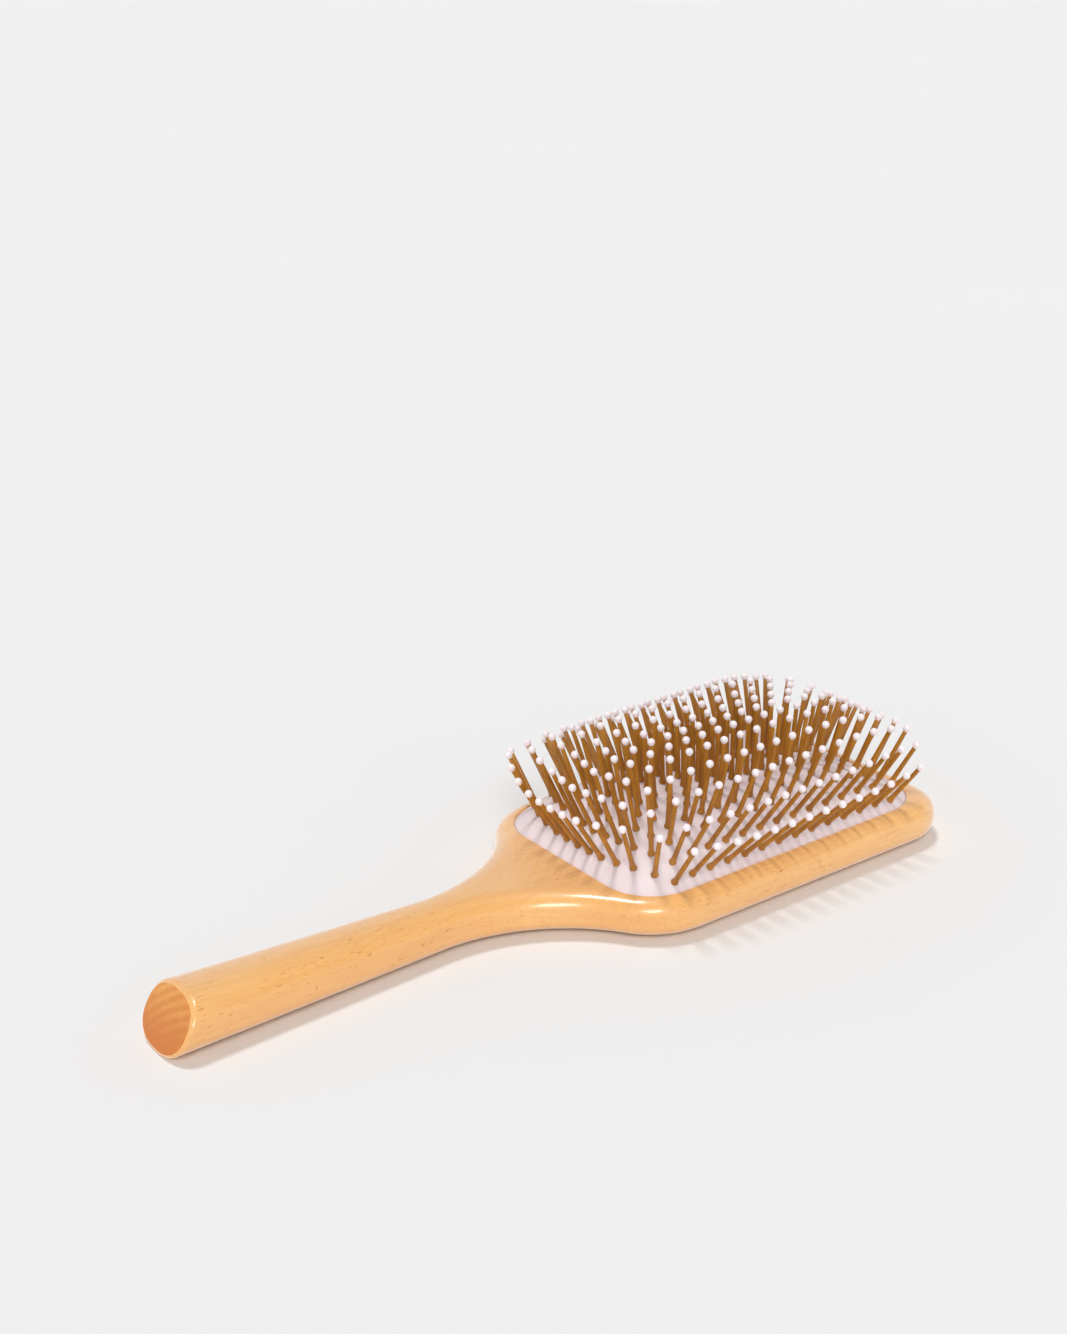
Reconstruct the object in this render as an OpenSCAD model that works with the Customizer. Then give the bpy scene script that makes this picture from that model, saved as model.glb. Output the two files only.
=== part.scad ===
// Cushioned paddle hairbrush, lying on its back with the bristles up. Millimetres.
// X runs from the handle to the far end of the head, Y across the head, Z up.
// The origin is the centre of the head's flat back.

/* [Head] */
// Width of the paddle head
head_w = 81.4; // [78:0.2:86]
// Thickness of the paddle head
head_t = 12.2; // [12:0.1:14]
// Distance from the origin to the far end of the head
head_front = 60.4; // [60:0.2:68]
// Radius of the two far corners in plan
far_corner_r = 15; // [14:0.5:22]
// Radius of the two shoulders in plan
shoulder_r = 24; // [18:0.5:26]
// X position where the shoulders begin
shoulder_x = -37.5; // [-42:0.5:-36]
// Steepest slope of the outline between neck and shoulder, degrees
flare_angle = 56; // [50:1:60]
// How far the rounded edge runs in over the face
edge_in = 6.7; // [6:0.1:8.5]
// How far the rounded edge runs in over the back
back_edge_in = 10.6; // [8:0.1:12]
// Height of the head's widest line above its back
widest_z = 6.6; // [5.5:0.1:7]

/* [Handle] */
// X position of the middle of the handle's cut end
end_x = -177.4; // [-190:0.2:-165]
// Width of the handle at its cut end
end_w = 23.6; // [22:0.2:30]
// Thickness of the handle at its cut end
end_t = 15.4; // [13:0.2:18]
// Width of the neck
neck_w = 16.4; // [15:0.2:20]
// Thickness of the neck
neck_t = 12.4; // [11:0.2:13]
// Height of the neck's underside above the table
neck_lift = 0.6; // [0:0.1:1]
// Slant of the cut end away from square, degrees
end_slant = 30; // [0:1:35]
// Radius of the edge round the cut end
end_round = 1.4; // [1:0.1:2]

/* [Pocket] */
// Length of the pocket's opening
opening_l = 109; // [106:0.5:112]
// Width of the pocket's opening
opening_w = 69.2; // [66:0.2:70]
// Corner radius of the pocket's opening
opening_r = 15; // [12:0.5:17]
// Wood left under the pocket
floor_t = 3; // [2.5:0.5:4]
// Height of the undercut groove round the pocket's wall
groove_h = 1.8; // [1.6:0.1:2.2]
// Depth of the undercut groove into the wall
groove_d = 2; // [1.5:0.1:2.5]
// Wood left above the groove
lip_t = 0.9; // [0.8:0.1:1.5]

/* [Cushion] */
// Height of the crown above the cushion's edge
crown_h = 10.8; // [8:0.2:12]
// Fullness of the crown: a larger number is flatter on top
crown_power = 4; // [3:0.1:5]
// Thickness of the rubber
rubber_t = 1.5; // [1.2:0.1:2]
// Height of the cushion's edge below the wood's face
edge_sink = 0.5; // [0.4:0.1:0.8]
// Radius of the vent hole
vent_r = 0.9; // [0.6:0.1:1.2]

/* [Pins] */
// Distance from a pin's foot to the middle of its ball
pin_l = 17.2; // [15:0.1:19]
// Length of the middle row, between its end pins
field_l = 99; // [98:0.2:100]
// Radius of a pin just above its collar
shaft_r = 0.74; // [0.6:0.02:0.8]
// Radius of a pin just below its ball
shaft_top_r = 0.64; // [0.5:0.02:0.7]
// Radius of the collar that sits on the rubber
collar_r = 1.15; // [1:0.05:1.3]
// Radius of the ball tip
ball_r = 1.1; // [1:0.05:1.3]
// Radius of the neck that passes through the rubber
pin_neck_r = 0.55; // [0.45:0.05:0.6]
// Radius of the root head that holds the pin from inside
root_r = 1.2; // [1:0.1:1.4]
// How far the outer pins lean: height of the crown that they stand square to
lean_h = 15; // [10:0.5:16]

/* [Hidden] */
// Distances of the rows from the middle row, outermost first
ROW_Y = [32, 27.6, 21.8, 16.2, 10.3, 5.2, 0];
// Pins in each of those rows
ROW_PINS = [14, 15, 16, 17, 17, 18, 19];
ROWS = 2*len(ROW_Y) - 1;

SECTION_STEPS = 8;      // facets in each rounded quarter of a section
EDGE_BAND = 0.4;        // half height of the upright band round the head's widest line
HANDLE_BAND = 0.03;     // the same on the handle, as a share of its half thickness
HEADNESS_LEAD = 6;      // how far before the neck the handle's section starts to become the head's
SECTION_POWER = 2.3;    // 2 is an ellipse, more is squarer
CORNER_STEPS = 9;       // facets in each corner of the cushion
RUNNING_GAP = 0.15;     // gap between the cushion and the wood round it
TILT_GAP = 0.45;        // room for a collar or root head on the curved rubber
HOLE_GAP = 0.06;        // radial gap between a pin's neck and its hole
SLANT_FADE = 26;        // length of handle over which the cut's slant dies out
FIELD_HALF_W = 42.5;    // half width of the rounded field that the row ends follow
FIELD_POWER = 3;        // squareness of that field
LEAN_HALF_L = 57.6;     // half length of the crown that the pins stand square to
LEAN_HALF_W = 35.8;
LEAN_POWER_X = 3.9;
LEAN_POWER_Y = 3;

// Arcs of the head's outline: shoulder, fillet into the neck, far corner
flare_sum = (head_w - neck_w)/2/(1 - cos(flare_angle));
fillet_r = flare_sum - shoulder_r;
neck_x = shoulder_x - flare_sum*sin(flare_angle);
corner_x = head_front - far_corner_r;

rim_z = head_t;
cushion_z = rim_z - edge_sink;
flange_top = rim_z - lip_t - RUNNING_GAP;
flange_bottom = rim_z - lip_t - groove_h + RUNNING_GAP;

function row_name(kind, row) = str(kind, row < 10 ? "0" : "", row);

function clamp01(t) = min(max(t, 0), 1);
function smooth(t) = let (c = clamp01(t)) c*c*(3 - 2*c);
// Cosine and sine of a superellipse's quarter
function quarter_out(a) = a >= 90 ? 0 : pow(cos(a), 2/SECTION_POWER);
function quarter_up(a) = a <= 0 ? 0 : pow(sin(a), 2/SECTION_POWER);

// ---- Wood body: a loft of sections along X ----

// 0 at the neck, 1 at the cut end
function along_handle(x) = clamp01((neck_x - x)/(neck_x - end_x));
// 0 on the handle, 1 on the head
function headness(x) = smooth((x - neck_x + HEADNESS_LEAD)/(shoulder_x - neck_x + HEADNESS_LEAD));
function handle_half_w(x) = (neck_w + (end_w - neck_w)*along_handle(x))/2;

function arc_drop(r, run) = r - sqrt(max(r*r - run*run, 0));
// Half width at x of the outline moved inwards by d
function half_w(x, d) =
    x < neck_x ? handle_half_w(x) - d
    : x < shoulder_x - (shoulder_r - d)*sin(flare_angle)
        ? neck_w/2 - d + arc_drop(fillet_r + d, x - neck_x)
    : x < shoulder_x ? head_w/2 - d - arc_drop(shoulder_r - d, x - shoulder_x)
    : x < corner_x ? head_w/2 - d
    : head_w/2 - d - arc_drop(far_corner_r - d, x - corner_x);

function top_z(x) = let (t = along_handle(x), k = smooth((x - neck_x)/(shoulder_x - neck_x)))
    x < neck_x ? neck_lift*(1 - t) + neck_t + (end_t - neck_t)*t
    : (neck_lift + neck_t)*(1 - k) + head_t*k;
function bottom_z(x) = let (k = smooth((x - neck_x)/(shoulder_x - neck_x)))
    x < neck_x ? neck_lift*(1 - along_handle(x)) : neck_lift*(1 - k);

// Height of the section's widest line
function wide_z(x) = let (k = headness(x))
    (1 - k)*(top_z(x) + bottom_z(x))/2 + k*(bottom_z(x) + (top_z(x) - bottom_z(x))*widest_z/head_t);

// How far round an edge that runs in by reach a section may go before it meets the far end
function edge_angle(x, reach) = let (c = 1 - (head_front - x)/reach)
    c <= 0 ? 90 : acos(pow(min(c, 1), SECTION_POWER/2));

// Quarter of the section at x, from its widest line to a face height away: [y, height] points
function quarter(x, height, head_reach) = let (
        k = headness(x),
        inwards = (1 - HANDLE_BAND)*handle_half_w(x)*(1 - k) + head_reach*k,
        rise = height - (HANDLE_BAND*height*(1 - k) + EDGE_BAND*k),
        most = edge_angle(x, head_reach))
    [for (i = [0:SECTION_STEPS]) let (a = i*most/SECTION_STEPS)
        [half_w(x, inwards*(1 - quarter_out(a))), height - rise*(1 - quarter_up(a))]];

// Section at x, shrunk by inset all round
function section(x, inset) = let (
        wide = wide_z(x),
        over = quarter(x, top_z(x) - wide, edge_in),
        under = [for (p = quarter(x, wide - bottom_z(x), back_edge_in)) [p[0], -p[1]]],
        shrink_y = 1 - inset/over[0][0],
        shrink_z = 1 - 2*inset/(top_z(x) - bottom_z(x)),
        mid = (top_z(x) + bottom_z(x))/2,
        lean = tan(end_slant)*(1 - smooth((x - end_x)/SLANT_FADE)),
        last = SECTION_STEPS,
        flat = concat(
            over,
            [for (i = [last:-1:0]) [-over[i][0], over[i][1]]],
            [for (i = [0:last]) [-under[i][0], under[i][1]]],
            [for (i = [last:-1:0]) under[i]]))
    [for (p = flat) let (z = (wide + p[1] - mid)*shrink_z) [x + lean*z, p[0]*shrink_y, mid + z]];

// Sections as [x, inset]: the rounded cut end, handle, fillet, shoulder, sides, far end
stations = concat(
    [for (a = [0:18:90]) [end_x + end_round*(1 - cos(a)), end_round*(1 - sin(a))]],
    [for (i = [1:18]) [end_x + end_round + (neck_x - end_x - end_round)*i/18, 0]],
    [for (i = [1:12]) [neck_x + fillet_r*sin(flare_angle*i/12), 0]],
    [for (i = [9:-1:0]) [shoulder_x - shoulder_r*sin(flare_angle*i/10), 0]],
    [for (i = [1:4]) [shoulder_x + (corner_x - shoulder_x)*i/4, 0]],
    [for (i = [1:6]) [corner_x + (head_front - edge_in - corner_x)*sin(15*i), 0]],
    [for (a = [78:-12:6]) [head_front - edge_in*(1 - quarter_out(a)), 0]]);

// Triangles that join a stack of rings with n points each, closed at both ends
function stack_faces(rings, n) = concat(
    [[for (j = [0:n - 1]) j]],
    [for (i = [0:rings - 2]) for (j = [0:n - 1]) let (a = i*n + j, b = i*n + (j + 1)%n)
        each [[a, a + n, b], [b, a + n, b + n]]],
    [[for (j = [n - 1:-1:0]) (rings - 1)*n + j]]);

module stack(rings) {
    polyhedron([for (ring = rings) each ring], stack_faces(len(rings), len(rings[0])), convexity = 6);
}

module rounded_rect(l, w, r) {
    square([l - 2*r, w], center = true);
    square([l, w - 2*r], center = true);
    for (sx = [-1, 1], sy = [-1, 1])
        translate([sx*(l/2 - r), sy*(w/2 - r)]) circle(r, $fn = 96);
}

module wood_body() {
    color([0.95, 0.73, 0.48]) difference() {
        stack([for (s = stations) section(s[0], s[1])]);
        translate([0, 0, floor_t])
            linear_extrude(head_t) rounded_rect(opening_l, opening_w, opening_r);
        translate([0, 0, rim_z - lip_t - groove_h])
            linear_extrude(groove_h)
                rounded_rect(opening_l + 2*groove_d, opening_w + 2*groove_d, opening_r + groove_d);
    }
}

// ---- Cushion: a crowned rubber shell with a flange for the groove ----

crown_half_l = opening_l/2 - RUNNING_GAP;
crown_half_w = opening_w/2 - RUNNING_GAP;
crown_r = opening_r - RUNNING_GAP;
corner_l = crown_half_l - crown_r;
corner_w = crown_half_w - crown_r;

// 0 in the middle of the crown, 1 on its rounded-rectangle edge
function edgeness(x, y) = let (
        ax = abs(x), ay = abs(y), rr = ax*ax + ay*ay,
        by_side = ay/crown_half_w, by_end = ax/crown_half_l,
        s = corner_l*ax + corner_w*ay,
        c = corner_l*corner_l + corner_w*corner_w - crown_r*crown_r)
    ax <= corner_l*by_side ? by_side
    : ay <= corner_w*by_end ? by_end
    : rr/(s + sqrt(max(s*s - rr*c, 0)));
function crown_z(x, y) = cushion_z + crown_h*(1 - pow(edgeness(x, y), crown_power));

// Level ring of the crown: the edge scaled to e, or grown outwards by out, at height z
function crown_ring(e, out, z) = [
    for (q = [0:3]) for (i = [0:CORNER_STEPS]) let (
        a = 90*q + 90*i/CORNER_STEPS,
        sx = q == 0 || q == 3 ? 1 : -1,
        sy = q < 2 ? 1 : -1)
    [e*(sx*corner_l + (crown_r + out)*cos(a)), e*(sy*corner_w + (crown_r + out)*sin(a)), z]];

LEVELS = [0.1, 0.28, 0.42, 0.55, 0.67, 0.76, 0.83, 0.885, 0.93, 0.965];
function level_z(e) = cushion_z + crown_h*(1 - pow(e, crown_power));
// Slope of the crown's sides at level e, degrees
function level_slope(e) = atan(crown_h*crown_power/crown_half_w*pow(e, crown_power - 1));
cushion_rings = concat(
    [for (e = LEVELS) crown_ring(e, 0, level_z(e))],
    [crown_ring(1, 0, cushion_z - 0.1),
     crown_ring(1, 0, flange_top),
     crown_ring(1, groove_d - RUNNING_GAP, flange_top),
     crown_ring(1, groove_d - RUNNING_GAP, flange_bottom),
     crown_ring(1, -rubber_t, flange_bottom)],
    [for (i = [len(LEVELS) - 1:-1:0]) let (e = LEVELS[i])
        crown_ring(e, -rubber_t*sin(level_slope(e)), level_z(e) - rubber_t*cos(level_slope(e)))]);

vent_y = (pin_row_y(4) + pin_row_y(5))/2;

module cushion() {
    color([0.91, 0.86, 0.86]) difference() {
        stack([for (ring = cushion_rings) [for (i = [len(ring) - 1:-1:0]) ring[i]]]);
        for (row = [1:ROWS], place = pin_places(row)) at_pin(place)
            translate([0, 0, -3*rubber_t])
                cylinder(r = pin_neck_r + HOLE_GAP, h = 5*rubber_t, $fn = 24);
        translate([0, vent_y, cushion_z]) cylinder(r = vent_r, h = 2*crown_h, $fn = 24);
    }
}

// ---- Pins: rows along X, each pin square to a crown a little fuller than the rubber ----

// Place of a row in the lists, which run from the edge to the middle
function list_place(row) = min(row, ROWS + 1 - row) - 1;
function pin_row_y(row) = (row <= len(ROW_Y) ? -1 : 1)*ROW_Y[list_place(row)];
function row_half_l(y) =
    field_l/2*pow(1 - pow(abs(y)/FIELD_HALF_W, FIELD_POWER), 1/FIELD_POWER);
// Feet of one row's pins on the rubber
function pin_places(row) = let (
        y = pin_row_y(row), half = row_half_l(y), gaps = ROW_PINS[list_place(row)] - 1)
    [for (i = [0:gaps]) let (x = half*(2*i/gaps - 1)) [x, y, crown_z(x, y)]];

// Slope of the leaning crown along one axis: u and v are fractions of its half length and width
function lean_slope(u, power, half, v, other_power) =
    lean_h*power/half*sign(u)*pow(abs(u), power - 1)*(1 - pow(abs(v), other_power));

module at_pin(place) {
    u = place[0]/LEAN_HALF_L;
    v = place[1]/LEAN_HALF_W;
    dx = lean_slope(u, LEAN_POWER_X, LEAN_HALF_L, v, LEAN_POWER_Y);
    dy = lean_slope(v, LEAN_POWER_Y, LEAN_HALF_W, u, LEAN_POWER_X);
    translate(place) rotate([0, atan(norm([dx, dy])), atan2(dy, dx)]) children();
}

collar_z = TILT_GAP;
root_z = -rubber_t - TILT_GAP;
shaft_end = pin_l - 0.75*ball_r;
spigot_r = 0.8*shaft_top_r;
spigot_end = pin_l + 0.35*ball_r;

module pin() {
    rotate_extrude($fn = 24) polygon([
        [0, root_z - 0.7], [0.8*root_r, root_z - 0.7], [root_r, root_z - 0.35], [root_r, root_z],
        [pin_neck_r, root_z], [pin_neck_r, collar_z], [collar_r, collar_z], [collar_r, collar_z + 0.35],
        [0.75*collar_r, collar_z + 0.8], [shaft_r, collar_z + 2],
        [shaft_top_r, shaft_end], [spigot_r, shaft_end], [spigot_r, spigot_end], [0, spigot_end]]);
}

module ball_tip() {
    below = pin_l - 2*ball_r;
    difference() {
        translate([0, 0, pin_l]) sphere(ball_r, $fn = 32);
        translate([0, 0, below]) cylinder(r = spigot_r, h = spigot_end - below, $fn = 24);
        translate([0, 0, below]) cylinder(r = 1.6*spigot_r, h = shaft_end - below, $fn = 24);
    }
}

module pins_row(row) {
    color([0.62, 0.38, 0.13]) for (place = pin_places(row)) at_pin(place) pin();
}

module tips_row(row) {
    color([0.96, 0.92, 0.93]) for (place = pin_places(row)) at_pin(place) ball_tip();
}

wood_body();
cushion();
for (row = [1:ROWS]) {
    pins_row(row);
    tips_row(row);
}
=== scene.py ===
"""The looks of a cushioned paddle hairbrush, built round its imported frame. Metres, in the frame's axes."""
import math
import random

import bmesh
import bpy
import numpy as np
from mathutils import Matrix, Quaternion, Vector


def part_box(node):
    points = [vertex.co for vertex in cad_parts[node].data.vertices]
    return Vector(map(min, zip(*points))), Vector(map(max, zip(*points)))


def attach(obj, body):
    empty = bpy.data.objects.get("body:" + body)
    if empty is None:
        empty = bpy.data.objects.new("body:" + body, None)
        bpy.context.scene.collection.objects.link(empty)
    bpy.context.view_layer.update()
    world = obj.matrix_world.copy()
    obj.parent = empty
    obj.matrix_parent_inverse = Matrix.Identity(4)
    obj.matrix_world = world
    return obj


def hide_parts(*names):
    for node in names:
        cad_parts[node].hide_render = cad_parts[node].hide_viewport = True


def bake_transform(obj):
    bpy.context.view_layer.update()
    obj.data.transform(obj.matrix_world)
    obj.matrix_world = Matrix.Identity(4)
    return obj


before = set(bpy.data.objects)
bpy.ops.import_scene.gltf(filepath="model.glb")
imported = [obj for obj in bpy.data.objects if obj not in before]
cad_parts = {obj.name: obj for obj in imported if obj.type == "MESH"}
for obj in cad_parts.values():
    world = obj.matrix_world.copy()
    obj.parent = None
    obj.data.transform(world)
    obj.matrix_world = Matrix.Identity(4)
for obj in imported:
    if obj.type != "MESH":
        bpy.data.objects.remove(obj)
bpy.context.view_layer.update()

MM = 0.001

# ---- Places taken from the frame ----

wood_low, wood_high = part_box("wood_body")
ROWS = sum(1 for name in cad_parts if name.startswith("pins_row_"))

# ---- The wooden body's design, in millimetres ----

HEAD_HALF_W = (wood_high.y - wood_low.y) / 2 / MM
HEAD_FRONT = wood_high.x / MM
HEAD_T = 12.2                # thickness of the head
FAR_CORNER_R = 15.0
SHOULDER_R = 24.0
SHOULDER_X = -37.5
FLARE = math.radians(56)
EDGE_IN = 6.7                # how far the rounded edge runs in over the face
BACK_EDGE_IN = 10.6          # the same over the back
WIDEST_Z = 6.6               # height of the head's widest line
EDGE_BAND = 0.4              # half height of the upright band round that line
HANDLE_BAND = 0.03           # the same on the handle, as a share of its half thickness
HEADNESS_LEAD = 6.0          # how far before the neck the section starts to become the head's
FAR_END_TURN = 0.97          # share of the far end's quarter turn that the sections reach
END_X = -177.4
END_HALF_W = 11.8
END_T = 15.4
END_SLANT = math.radians(30)
END_ROUND = 1.4
SLANT_FADE = 26.0
NECK_HALF_W = 8.2
NECK_T = 12.4
NECK_LIFT = 0.6
SECTION_POWER = 2.3
OPENING_HALF_L = 54.5
OPENING_HALF_W = 34.6
OPENING_R = 15.0
FLOOR_T = 3.0
GROOVE_H = 1.8
GROOVE_D = 2.0
LIP_T = 0.9
LIP_ROUND = 0.55             # radius of the lip round the pocket's mouth
LIP_FLAT = 0.08              # how far below the face that radius starts
FLOOR_FILLET = 1.2           # fillet round the pocket's floor

FLARE_SUM = (HEAD_HALF_W - NECK_HALF_W) / (1 - math.cos(FLARE))
FILLET_R = FLARE_SUM - SHOULDER_R
NECK_X = SHOULDER_X - FLARE_SUM * math.sin(FLARE)
CORNER_X = HEAD_FRONT - FAR_CORNER_R

# ---- The cushion's and the pins' design, in millimetres ----

EDGE_SINK = 0.5
PAD_EDGE_Z = HEAD_T - EDGE_SINK
CROWN_H = 10.8
CROWN_POWER = 4.0
RUBBER_T = 1.5
EDGE_GAP = 0.15
DIMPLE_DEPTH = 0.22          # how far the rubber is drawn down at a pin's foot
DIMPLE_REACH = 1.7

rng = random.Random(7)


def clamp01(t):
    return min(max(t, 0.0), 1.0)


def smooth(t):
    t = clamp01(t)
    return t * t * (3 - 2 * t)


# ---- Mesh helpers ----

def make_object(name, verts, faces, materials=()):
    mesh = bpy.data.meshes.new(name)
    mesh.from_pydata([tuple(v) for v in verts], [], faces)
    mesh.update()
    obj = bpy.data.objects.new(name, mesh)
    bpy.context.scene.collection.objects.link(obj)
    for material in materials:
        mesh.materials.append(material)
    mesh.polygons.foreach_set("use_smooth", [True] * len(mesh.polygons))
    return obj


def stack_faces(rings, n):
    """Quads that join a stack of rings with n points each, closed at both ends."""
    faces = [list(range(n))[::-1]]
    for i in range(rings - 1):
        for j in range(n):
            k = (j + 1) % n
            faces.append([i * n + j, i * n + k, (i + 1) * n + k, (i + 1) * n + j])
    faces.append([(rings - 1) * n + j for j in range(n)])
    return faces


def apply_modifiers(obj):
    depsgraph = bpy.context.evaluated_depsgraph_get()
    mesh = bpy.data.meshes.new_from_object(obj.evaluated_get(depsgraph))
    obj.modifiers.clear()
    obj.data = mesh


def outward_normals(obj):
    bm = bmesh.new()
    bm.from_mesh(obj.data)
    bmesh.ops.recalc_face_normals(bm, faces=bm.faces)
    bm.to_mesh(obj.data)
    bm.free()


# ---- The wooden body ----

def along_handle(x):
    return clamp01((NECK_X - x) / (NECK_X - END_X))


def headness(x):
    return smooth((x - NECK_X + HEADNESS_LEAD) / (SHOULDER_X - NECK_X + HEADNESS_LEAD))


def handle_half_w(x):
    return NECK_HALF_W + (END_HALF_W - NECK_HALF_W) * along_handle(x)


def arc_drop(r, run):
    return r - math.sqrt(max(r * r - run * run, 0))


def half_w(x, d):
    """Half width at x of the head's and handle's outline, moved inwards by d."""
    if x < NECK_X:
        return handle_half_w(x) - d
    if x < SHOULDER_X - (SHOULDER_R - d) * math.sin(FLARE):
        return NECK_HALF_W - d + arc_drop(FILLET_R + d, x - NECK_X)
    if x < SHOULDER_X:
        return HEAD_HALF_W - d - arc_drop(SHOULDER_R - d, x - SHOULDER_X)
    if x < CORNER_X:
        return HEAD_HALF_W - d
    return HEAD_HALF_W - d - arc_drop(FAR_CORNER_R - d, x - CORNER_X)


def top_and_bottom(x):
    t = along_handle(x)
    if x < NECK_X:
        low = NECK_LIFT * (1 - t)
        return low + NECK_T + (END_T - NECK_T) * t, low
    k = smooth((x - NECK_X) / (SHOULDER_X - NECK_X))
    return (NECK_LIFT + NECK_T) * (1 - k) + HEAD_T * k, NECK_LIFT * (1 - k)


def quarter(a):
    """Cosine and sine of a superellipse's quarter."""
    return math.cos(a) ** (2 / SECTION_POWER) if a < math.pi / 2 else 0.0, math.sin(a) ** (2 / SECTION_POWER)


def section_quarter(x, height, head_reach, steps):
    """(y, height) points from the section's widest line to a face that is height away."""
    k = headness(x)
    inwards = (1 - HANDLE_BAND) * handle_half_w(x) * (1 - k) + head_reach * k
    rise = height - (HANDLE_BAND * height * (1 - k) + EDGE_BAND * k)
    reach = 1 - (HEAD_FRONT - x) / head_reach
    limit = math.pi / 2 if reach <= 0 else math.acos(min(reach, 1) ** (SECTION_POWER / 2))
    points = []
    for i in range(steps + 1):
        out, up = quarter(limit * i / steps)
        points.append((half_w(x, inwards * (1 - out)), height - rise * (1 - up)))
    return points


def wood_section(x, inset, steps):
    top, bottom = top_and_bottom(x)
    mid, k = (top + bottom) / 2, headness(x)
    wide = mid * (1 - k) + (bottom + (top - bottom) * WIDEST_Z / HEAD_T) * k
    over = section_quarter(x, top - wide, EDGE_IN, steps)
    under = [(y, -z) for y, z in section_quarter(x, wide - bottom, BACK_EDGE_IN, steps)]
    shrink_y, shrink_z = 1 - inset / over[0][0], 1 - 2 * inset / (top - bottom)
    lean = math.tan(END_SLANT) * (1 - smooth((x - END_X) / SLANT_FADE))
    loop = over + [(-y, z) for y, z in over[::-1]] + [(-y, z) for y, z in under] + under[::-1]
    section = []
    for y, z in loop:
        rise = (wide + z - mid) * shrink_z
        section.append((x + lean * rise, y * shrink_y, mid + rise))
    return section


def wood_stations():
    """(x, inset) of each section: rounded cut end, handle, fillet, shoulder, sides, far end."""
    def steps(n, start=0):
        return [i / n for i in range(start, n + 1)]
    quarter_turn = math.pi / 2
    stations = []
    for t in steps(10):
        a = t * quarter_turn
        stations.append((END_X + END_ROUND * (1 - math.cos(a)), END_ROUND * (1 - math.sin(a))))
    first = stations[-1][0]
    stations += [(first + (NECK_X - first) * t, 0) for t in steps(90, 1)]
    stations += [(NECK_X + FILLET_R * math.sin(FLARE * t), 0) for t in steps(60, 1)]
    stations += [(SHOULDER_X - SHOULDER_R * math.sin(FLARE * (1 - t)), 0) for t in steps(40, 1)]
    stations += [(SHOULDER_X + (CORNER_X - SHOULDER_X) * t, 0) for t in steps(24, 1)]
    run = HEAD_FRONT - EDGE_IN - CORNER_X
    stations += [(CORNER_X + run * math.sin(t * quarter_turn), 0) for t in steps(24, 1)]
    for t in steps(20, 1):
        out = quarter(quarter_turn * (1 - t * FAR_END_TURN))[0]
        stations.append((HEAD_FRONT - EDGE_IN * (1 - out), 0))
    return stations


def rounded_rect(half_length, half_width, r, z, corner_steps=24):
    """Points round a rounded rectangle, anticlockwise from +X."""
    ring = []
    for q in range(4):
        sx, sy = (1 if q in (0, 3) else -1), (1 if q < 2 else -1)
        for i in range(corner_steps + 1):
            a = math.pi / 2 * (q + i / corner_steps)
            x, y = r * math.cos(a), r * math.sin(a)
            ring.append((sx * (half_length - r) + x, sy * (half_width - r) + y, z))
    return ring


def pocket_cutter():
    """The routed pocket with its groove, flaring at the mouth so that the wood's lip is rounded."""
    def ring(out, z):
        return rounded_rect(OPENING_HALF_L + out, OPENING_HALF_W + out, OPENING_R + out, z)
    groove_top, groove_low = HEAD_T - LIP_T, HEAD_T - LIP_T - GROOVE_H
    bow = 0.35
    profile = [(-FLOOR_FILLET, FLOOR_T), (-bow, FLOOR_T + bow), (0, FLOOR_T + FLOOR_FILLET), (0, groove_low),
               (GROOVE_D, groove_low), (GROOVE_D, groove_top), (0, groove_top)]
    for i in range(9):
        a = math.pi / 2 * i / 8
        profile.append((LIP_ROUND * (1 - math.cos(a)), HEAD_T - LIP_FLAT - LIP_ROUND * (1 - math.sin(a))))
    profile.append((LIP_ROUND, HEAD_T + 2))
    rings = [ring(out, z) for out, z in profile]
    verts = [Vector(p) * MM for r in rings for p in r]
    return make_object("cutter", verts, stack_faces(len(rings), len(rings[0])))


def wood_body(materials):
    rings = [wood_section(x, inset, 16) for x, inset in wood_stations()]
    verts = [Vector(p) * MM for ring in rings for p in ring]
    body = make_object("beech_body", verts, stack_faces(len(rings), len(rings[0])), materials)
    outward_normals(body)
    cutter = pocket_cutter()
    outward_normals(cutter)
    cut = body.modifiers.new("pocket", "BOOLEAN")
    cut.operation = "DIFFERENCE"
    cut.solver = "EXACT"
    cut.object = cutter
    apply_modifiers(body)
    bpy.data.objects.remove(cutter)
    end_grain_faces(body)
    body.data.polygons.foreach_set("use_smooth", [True] * len(body.data.polygons))
    body.data.set_sharp_from_angle(angle=math.radians(34))
    return body


def end_grain_faces(body):
    """The flat of the cut end takes the second material."""
    slant = Vector((-math.cos(END_SLANT), 0, math.sin(END_SLANT)))
    reach, squareness = 8, 0.96
    for face in body.data.polygons:
        if face.center.x < (END_X + reach) * MM and face.normal.dot(slant) > squareness:
            face.material_index = 1


# ---- The rubber cushion ----

PAD_HALF_L = OPENING_HALF_L - EDGE_GAP
PAD_HALF_W = OPENING_HALF_W - EDGE_GAP
PAD_R = OPENING_R - EDGE_GAP


def crown_z(edgeness):
    return PAD_EDGE_Z + CROWN_H * (1 - edgeness ** CROWN_POWER)


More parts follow.
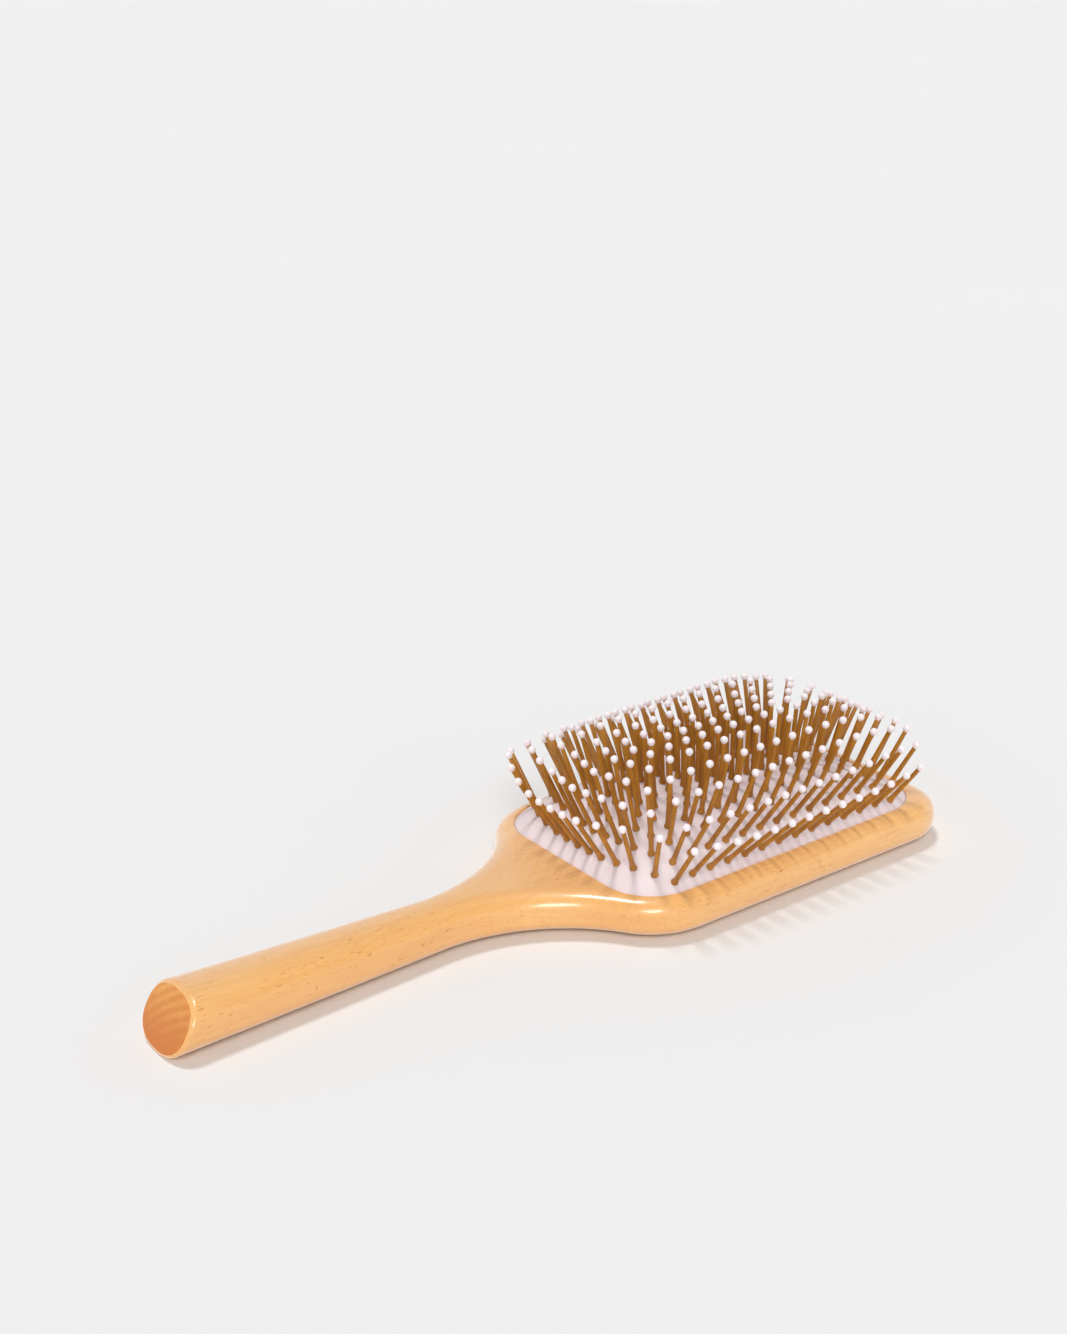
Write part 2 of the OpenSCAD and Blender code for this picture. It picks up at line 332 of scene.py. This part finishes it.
def cushion_rings():
    """Rings from the crown's middle out, over the edge into the groove, and back underneath."""
    corner_steps, side_l, side_w = 24, 60, 36

    def outline(out):
        """Edge points with the straight sides subdivided, so that the rubber can dimple."""
        ring = []
        corners = rounded_rect(PAD_HALF_L + out, PAD_HALF_W + out, PAD_R + out, 0, corner_steps)
        n = corner_steps + 1
        for q, side in enumerate((side_l, side_w, side_l, side_w)):
            arc = corners[q * n:(q + 1) * n]
            start, end = Vector(arc[-1]), Vector(corners[((q + 1) * n) % len(corners)])
            ring += [Vector(p) for p in arc]
            ring += [start.lerp(end, i / side) for i in range(1, side)]
        return ring

    edge = outline(0)
    rings = []
    levels = 130
    for i in range(1, levels + 1):
        e = (i / levels) ** 0.85
        rings.append([Vector((p.x * e, p.y * e, crown_z(e))) for p in edge])
    flange_top, flange_low = HEAD_T - LIP_T - EDGE_GAP, HEAD_T - LIP_T - GROOVE_H + EDGE_GAP
    for out, z in ((0, flange_top), (GROOVE_D - EDGE_GAP, flange_top), (GROOVE_D - EDGE_GAP, flange_low),
                   (-RUBBER_T, flange_low)):
        rings.append([Vector((p.x, p.y, z)) for p in outline(out)])
    for i in range(23, 0, -1):
        e = i / 24
        slope = math.atan(CROWN_H * CROWN_POWER / PAD_HALF_W * e ** (CROWN_POWER - 1))
        z = crown_z(e) - RUBBER_T * math.cos(slope)
        rings.append([Vector((p.x * e, p.y * e, z)) for p in outline(-RUBBER_T * math.sin(slope))])
    return rings, levels


def dimple(rings, count, feet):
    """The rubber is drawn down a little round each pin's foot, with a soft swell between."""
    centres = np.array([[f.x, f.y] for f in feet]) / MM
    for ring in rings[:count]:
        xy = np.array([[p.x, p.y] for p in ring])
        gaps = np.sqrt(((xy[:, None, :] - centres[None]) ** 2).sum(2)).min(1)
        for p, gap in zip(ring, gaps):
            p.z -= DIMPLE_DEPTH * math.exp(-(gap / DIMPLE_REACH) ** 2)


def cushion(material, feet):
    rings, levels = cushion_rings()
    dimple(rings, levels, feet)
    verts = [p * MM for ring in rings for p in ring]
    pad = make_object("rubber_cushion", verts, stack_faces(len(rings), len(rings[0])), [material])
    outward_normals(pad)
    pad.data.set_sharp_from_angle(angle=math.radians(50))
    return pad


# ---- Pins and ball tips, one piece a row, placed on the frame's own pins ----

def islands(obj):
    """The separate solids of a node, each as an array of its corners."""
    mesh = obj.data
    co = np.empty(len(mesh.vertices) * 3)
    mesh.vertices.foreach_get("co", co)
    co = co.reshape(-1, 3)
    keys, first = np.unique(np.round(co / 1e-6).astype(np.int64), axis=0, return_inverse=True)
    first = first.reshape(-1)
    parent = list(range(len(keys)))

    def find(i):
        while parent[i] != i:
            parent[i] = parent[parent[i]]
            i = parent[i]
        return i

    edges = np.empty(len(mesh.edges) * 2, np.int64)
    mesh.edges.foreach_get("vertices", edges)
    for a, b in first[edges].reshape(-1, 2):
        parent[find(int(a))] = find(int(b))
    groups = {}
    for i, p in enumerate(co):
        groups.setdefault(find(int(first[i])), []).append(p)
    return [np.array(g) for g in groups.values()]


class Pin:
    """A pin of the frame: its direction, its ball's middle and its foot on the rubber."""

    def __init__(self, pin_points, ball_points):
        self.ball = Vector((ball_points.min(0) + ball_points.max(0)) / 2)
        axis = Vector(np.linalg.svd(pin_points - pin_points.mean(0), full_matrices=False)[2][0])
        self.axis = axis if axis.z > 0 else -axis
        self.foot = self.ball - self.axis * PIN_L * MM


def row_pins(row):
    pins = islands(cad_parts["pins_row_%02d" % row])
    balls = islands(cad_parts["tips_row_%02d" % row])
    pins.sort(key=lambda p: p[:, 0].mean())
    balls.sort(key=lambda p: p[:, 0].mean())
    return [Pin(p, b) for p, b in zip(pins, balls)]


PIN_L = 17.2
COLLAR_R = 1.08
SHAFT_R = 0.74
SHAFT_TOP_R = 0.64
BALL_R = 1.1
ROOT_GAP = 0.45              # between the rubber's inside and the root head
ROOT_R = 1.2
PIN_NECK_R = 0.55            # where the pin passes through the rubber
COLLAR_TOP = 2.4             # where the collar has run out into the shaft


def lathe(profile, around, frame_matrix, verts, faces):
    """Adds a turned solid to verts and faces. profile is (radius, height) pairs in millimetres."""
    base = len(verts)
    verts.append(frame_matrix @ Vector((0, 0, profile[0][1] * MM)))
    for r, z in profile[1:-1]:
        for i in range(around):
            a = 2 * math.pi * i / around
            verts.append(frame_matrix @ (Vector((r * math.cos(a), r * math.sin(a), z)) * MM))
    verts.append(frame_matrix @ Vector((0, 0, profile[-1][1] * MM)))
    rings = len(profile) - 2
    for i in range(around):
        k = (i + 1) % around
        faces.append((base, base + 1 + k, base + 1 + i))
        for j in range(rings - 1):
            lower, upper = base + 1 + j * around, base + 1 + (j + 1) * around
            faces.append((lower + i, lower + k, upper + k, upper + i))
        last = base + 1 + (rings - 1) * around
        faces.append((last + i, last + k, base + 1 + rings * around))


def pin_profile():
    root_z = -RUBBER_T - ROOT_GAP
    root = [(0, root_z - 0.7), (ROOT_R - 0.35, root_z - 0.7), (ROOT_R - 0.1, root_z - 0.5),
            (ROOT_R, root_z - 0.3), (ROOT_R - 0.05, root_z)]
    neck = [(PIN_NECK_R, root_z + 0.02), (PIN_NECK_R, -0.25)]
    collar = [(COLLAR_R * 0.86, -0.12), (COLLAR_R, 0.1), (COLLAR_R * 1.02, 0.35),
              (COLLAR_R * 0.97, 0.6), (COLLAR_R * 0.86, 0.85)]
    foot = [(SHAFT_R * 1.17, 1.2), (SHAFT_R * 1.06, 1.7), (SHAFT_R * 1.01, COLLAR_TOP)]
    profile = root + neck + collar + foot
    shaft_steps = 8
    run = PIN_L - BALL_R - COLLAR_TOP + 0.2
    for i in range(1, shaft_steps + 1):
        t = i / shaft_steps
        profile.append((SHAFT_R + (SHAFT_TOP_R - SHAFT_R) * t, COLLAR_TOP + run * t))
    profile += [(SHAFT_TOP_R * 0.8, PIN_L + 0.1), (0, PIN_L + 0.2)]
    return profile


def ball_profile():
    """A moulded ball, drawn out a little where it closes over the shaft."""
    profile = [(0, -BALL_R)]
    steps = 16
    for i in range(1, steps):
        a = math.pi * i / steps
        r, z = BALL_R * math.sin(a), -BALL_R * math.cos(a)
        neck = math.exp(-((z + BALL_R) / 0.28) ** 2)
        profile.append((r + 0.16 * neck, z - 0.1 * neck))
    profile.append((0, BALL_R))
    return [(r, z + PIN_L) for r, z in profile]


def row_pieces(row, pins, pin_material, ball_material):
    pin_verts, pin_faces, ball_verts, ball_faces = [], [], [], []
    for pin in pins:
        turn = Vector((0, 0, 1)).rotation_difference(pin.axis)
        spin = Quaternion((0, 0, 1), rng.uniform(0, 2 * math.pi))
        place = Matrix.Translation(pin.foot) @ (turn @ spin).to_matrix().to_4x4()
        lathe(pin_profile(), 20, place, pin_verts, pin_faces)
        lathe(ball_profile(), 24, place, ball_verts, ball_faces)
    shafts = make_object("pins_%02d" % row, pin_verts, pin_faces, [pin_material])
    balls = make_object("balls_%02d" % row, ball_verts, ball_faces, [ball_material])
    body = "row_%02d" % row
    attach(shafts, body)
    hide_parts("pins_row_%02d" % row)
    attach(balls, body)
    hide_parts("tips_row_%02d" % row)


# ---- Materials ----

def srgb(r, g, b):
    """Linear colour of an 8-bit screen colour."""
    def channel(c):
        c /= 255
        return c / 12.92 if c <= 0.04045 else ((c + 0.055) / 1.055) ** 2.4
    return (channel(r), channel(g), channel(b), 1.0)


class Nodes:
    """A material's node tree, with short calls for the nodes this scene uses."""

    def __init__(self, name):
        self.material = bpy.data.materials.new(name)
        self.material.use_nodes = True
        self.tree = self.material.node_tree
        self.shader = self.tree.nodes["Principled BSDF"]

    def add(self, kind, **inputs):
        node = self.tree.nodes.new(kind)
        for key, value in inputs.items():
            self.set(node, key, value)
        return node

    def set(self, node, key, value):
        socket = node.inputs[key]
        if isinstance(value, bpy.types.NodeSocket):
            self.tree.links.new(value, socket)
        else:
            socket.default_value = value

    def shade(self, **inputs):
        for key, value in inputs.items():
            self.set(self.shader, key.replace("_", " "), value)

    def coordinates(self, scale):
        place = self.add("ShaderNodeTexCoord")
        mapping = self.add("ShaderNodeMapping", Vector=place.outputs["Object"], Scale=scale)
        return mapping.outputs["Vector"]

    def noise(self, vector, scale, detail=3.0, roughness=0.5, distortion=0.0):
        node = self.add("ShaderNodeTexNoise", Vector=vector, Scale=scale, Detail=detail,
                        Roughness=roughness, Distortion=distortion)
        return node.outputs["Fac"]

    def ramp(self, value, *stops):
        node = self.add("ShaderNodeValToRGB", Fac=value)
        elements = node.color_ramp.elements
        while len(elements) < len(stops):
            elements.new(0.5)
        for element, (position, colour) in zip(elements, stops):
            element.position = position
            element.color = colour if len(colour) == 4 else (*colour, 1.0)
        return node.outputs["Color"]

    def level(self, value, low, high):
        """0 below low, 1 above high."""
        node = self.add("ShaderNodeMapRange", Value=value)
        node.inputs["From Min"].default_value = low
        node.inputs["From Max"].default_value = high
        node.interpolation_type = "SMOOTHSTEP"
        return node.outputs["Result"]

    def math(self, operation, a, b=0.5):
        node = self.tree.nodes.new("ShaderNodeMath")
        node.operation = operation
        self.set(node, 0, a)
        self.set(node, 1, b)
        return node.outputs[0]

    def mix(self, fac, a, b):
        node = self.tree.nodes.new("ShaderNodeMix")
        node.data_type = "RGBA"
        self.set(node, 0, fac)
        self.set(node, 6, a)
        self.set(node, 7, b)
        return node.outputs[2]

    def bump(self, height, strength, distance):
        node = self.add("ShaderNodeBump", Height=height, Strength=strength, Distance=distance)
        self.shade(Normal=node.outputs["Normal"])


def beech():
    """Lacquered beech: faint bands along X, fine pores and short brown ray flecks."""
    m = Nodes("beech_lacquered")
    bands = m.noise(m.coordinates((9, 70, 70)), 1.0, 4, 0.55, 0.4)
    fine = m.noise(m.coordinates((60, 900, 900)), 1.0, 3, 0.6)
    base = m.ramp(bands, (0.25, srgb(242, 178, 104)), (0.5, srgb(247, 187, 113)),
                  (0.75, srgb(251, 197, 126)))
    base = m.mix(m.math("MULTIPLY", m.level(fine, 0.35, 0.75), 0.6), base, srgb(238, 172, 98))
    flecks = m.noise(m.coordinates((480, 2300, 2300)), 1.0, 1.5, 0.4)
    where = m.noise(m.coordinates((50, 110, 110)), 1.0, 2)
    fleck_fac = m.math("MULTIPLY", m.level(flecks, 0.635, 0.7), m.level(where, 0.36, 0.56))
    base = m.mix(m.math("MULTIPLY", fleck_fac, 0.75), base, srgb(219, 138, 60))
    m.shade(Base_Color=base, Roughness=m.math("ADD", m.math("MULTIPLY", fine, 0.12), 0.34),
            Coat_Weight=0.9, Coat_Roughness=0.15, Sheen_Weight=0.6, Sheen_Roughness=0.4)
    m.bump(m.mix(0.5, fine, flecks), 0.12, 0.0002)
    return m.material


def beech_end():
    """The cut end: darker end grain, with growth rings as soft bowed bands across it."""
    m = Nodes("beech_end_grain")
    place = m.add("ShaderNodeTexCoord").outputs["Object"]
    bowed = m.add("ShaderNodeMapping", Vector=place, Location=(0, 0.0285, 0.033))
    away = m.add("ShaderNodeVectorMath")
    away.operation = "LENGTH"
    flat = m.add("ShaderNodeVectorMath")
    flat.operation = "MULTIPLY"
    m.set(flat, 0, bowed.outputs["Vector"])
    m.set(flat, 1, (0.0, 1.0, 1.0))
    m.set(away, 0, flat.outputs["Vector"])
    wobble = m.noise(m.coordinates((90, 90, 90)), 1.0, 2)
    radius = m.math("ADD", m.math("MULTIPLY", away.outputs["Value"], 2400), m.math("MULTIPLY", wobble, 3))
    rings = m.math("ADD", m.math("MULTIPLY", m.math("SINE", radius), 0.16), m.math("MULTIPLY", wobble, 0.95))
    speck = m.noise(m.coordinates((1400, 1400, 1400)), 1.0, 2)
    base = m.ramp(rings, (0.2, srgb(214, 130, 48)), (0.5, srgb(225, 146, 62)), (0.8, srgb(235, 163, 84)))
    split = m.add("ShaderNodeSeparateXYZ", Vector=place)
    base = m.mix(m.level(split.outputs["Z"], 0.012, 0.001), base, srgb(211, 118, 38))
    base = m.mix(m.math("MULTIPLY", m.level(speck, 0.5, 0.75), 0.6), base, srgb(206, 124, 56))
    m.shade(Base_Color=base, Roughness=m.math("ADD", m.math("MULTIPLY", speck, 0.15), 0.42),
            Coat_Weight=0.15, Coat_Roughness=0.2)
    m.bump(speck, 0.15, 0.0002)
    return m.material


def rubber():
    m = Nodes("cushion_rubber")
    broad = m.noise(m.coordinates((45, 45, 45)), 1.0, 2)
    grain = m.noise(m.coordinates((2600, 2600, 2600)), 1.0, 2)
    base = m.ramp(broad, (0.3, srgb(234, 216, 219)), (0.7, srgb(240, 225, 227)))
    m.shade(Base_Color=base, Roughness=m.math("ADD", m.math("MULTIPLY", grain, 0.15), 0.45),
            Subsurface_Weight=0.12, Subsurface_Radius=(0.004, 0.002, 0.002), Subsurface_Scale=1.0)
    m.bump(grain, 0.06, 0.0001)
    return m.material


def pin_nylon():
    m = Nodes("pin_nylon")
    streak = m.noise(m.coordinates((300, 300, 90)), 1.0, 2)
    cloud = m.noise(m.coordinates((150, 150, 150)), 1.0, 1)
    base = m.ramp(streak, (0.3, srgb(158, 104, 26)), (0.55, srgb(180, 122, 32)), (0.8, srgb(198, 140, 46)))
    m.shade(Base_Color=base, Roughness=m.math("ADD", m.math("MULTIPLY", cloud, 0.15), 0.3),
            Subsurface_Weight=0.15, Subsurface_Radius=(0.003, 0.0015, 0.0005), Subsurface_Scale=1.0)
    m.bump(streak, 0.05, 0.0001)
    return m.material


def ball_nylon():
    m = Nodes("ball_nylon")
    cloud = m.noise(m.coordinates((500, 500, 500)), 1.0, 2)
    base = m.ramp(cloud, (0.3, srgb(248, 234, 238)), (0.7, srgb(252, 243, 245)))
    m.shade(Base_Color=base, Roughness=m.math("ADD", m.math("MULTIPLY", cloud, 0.12), 0.36),
            Subsurface_Weight=0.25, Subsurface_Radius=(0.002, 0.001, 0.001), Subsurface_Scale=1.0)
    m.bump(cloud, 0.05, 0.0001)
    return m.material


# ---- Stage, light and camera ----

def floor():
    m = Nodes("stage_floor")
    tone = m.noise(m.coordinates((3, 3, 3)), 1.0, 1)
    m.shade(Base_Color=m.ramp(tone, (0.0, srgb(239, 239, 239)), (1.0, srgb(241, 241, 241))), Roughness=0.9,
            Specular_IOR_Level=0.0)
    m.bump(tone, 0.02, 0.0001)
    size = 30.0
    corners = [(-size, -size, 0), (size, -size, 0), (size, size, 0), (-size, size, 0)]
    ground = make_object("floor", corners, [(0, 1, 2, 3)], [m.material])


def sun(name, towards, strength, spread):
    """A distant soft light that shines from the direction towards, spread degrees across."""
    data = bpy.data.lights.new(name, "SUN")
    data.energy = strength
    data.angle = math.radians(spread)
    light = bpy.data.objects.new(name, data)
    bpy.context.scene.collection.objects.link(light)
    light.rotation_mode = "QUATERNION"
    light.rotation_quaternion = Vector(towards).to_track_quat("Z", "Y")


HORIZON_LIGHT = 0.79
ZENITH_LIGHT = 0.2
HORIZON_TOP = 0.35           # sine of the height up to which the horizon's light is even
ZENITH_EDGE = 0.7            # sine of the height from which the zenith's light is even


def lighting():
    """A pale studio that is brightest near the horizon, a high key light and a low light by the camera."""
    world = bpy.data.worlds.new("studio")
    bpy.context.scene.world = world
    world.use_nodes = True
    tree = world.node_tree
    background = tree.nodes["Background"]
    background.inputs["Color"].default_value = (1, 1, 1, 1)
    place = tree.nodes.new("ShaderNodeTexCoord")
    split = tree.nodes.new("ShaderNodeSeparateXYZ")
    height = tree.nodes.new("ShaderNodeMapRange")
    height.interpolation_type = "SMOOTHSTEP"
    height.inputs["From Min"].default_value = HORIZON_TOP
    height.inputs["From Max"].default_value = ZENITH_EDGE
    height.inputs["To Min"].default_value = HORIZON_LIGHT
    height.inputs["To Max"].default_value = ZENITH_LIGHT
    tree.links.new(place.outputs["Generated"], split.inputs["Vector"])
    tree.links.new(split.outputs["Z"], height.inputs["Value"])
    tree.links.new(height.outputs["Result"], background.inputs["Strength"])
    sun("key", (0.0, 0.23, 0.97), 1.2, 12)
    sun("front", (-0.43, -0.64, 0.64), 1.3, 22)


CAMERA_AZ = math.radians(-35.35)
CAMERA_EL = math.radians(21.41)
CAMERA_ROLL = math.radians(-1.54)
CAMERA_DISTANCE = 0.50833
CAMERA_TARGET = Vector((-0.06335, 0, 0.07251))
SENSOR = 36.0
LENS = 51.48


def camera():
    data = bpy.data.cameras.new("camera")
    data.sensor_width = SENSOR
    data.lens = LENS
    data.clip_start = 0.01
    cam = bpy.data.objects.new("camera", data)
    bpy.context.scene.collection.objects.link(cam)
    bpy.context.scene.camera = cam
    back = Vector((math.sin(CAMERA_AZ) * math.cos(CAMERA_EL), -math.cos(CAMERA_AZ) * math.cos(CAMERA_EL),
                   math.sin(CAMERA_EL)))
    cam.location = CAMERA_TARGET + back * CAMERA_DISTANCE
    cam.rotation_mode = "QUATERNION"
    cam.rotation_quaternion = (-back).to_track_quat("-Z", "Y") @ Quaternion((0, 0, 1), CAMERA_ROLL)


# ---- Assembly ----

camera()
lighting()
floor()
bpy.context.scene.view_settings.view_transform = "Standard"

body = wood_body([beech(), beech_end()])
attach(body, "brush_body")
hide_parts("wood_body")

all_rows = {row: row_pins(row) for row in range(1, ROWS + 1)}
pin_material, ball_material = pin_nylon(), ball_nylon()
for row, pins in all_rows.items():
    row_pieces(row, pins, pin_material, ball_material)

feet = [pin.foot for pins in all_rows.values() for pin in pins]
pad = cushion(rubber(), feet)
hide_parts("cushion")
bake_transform(pad)
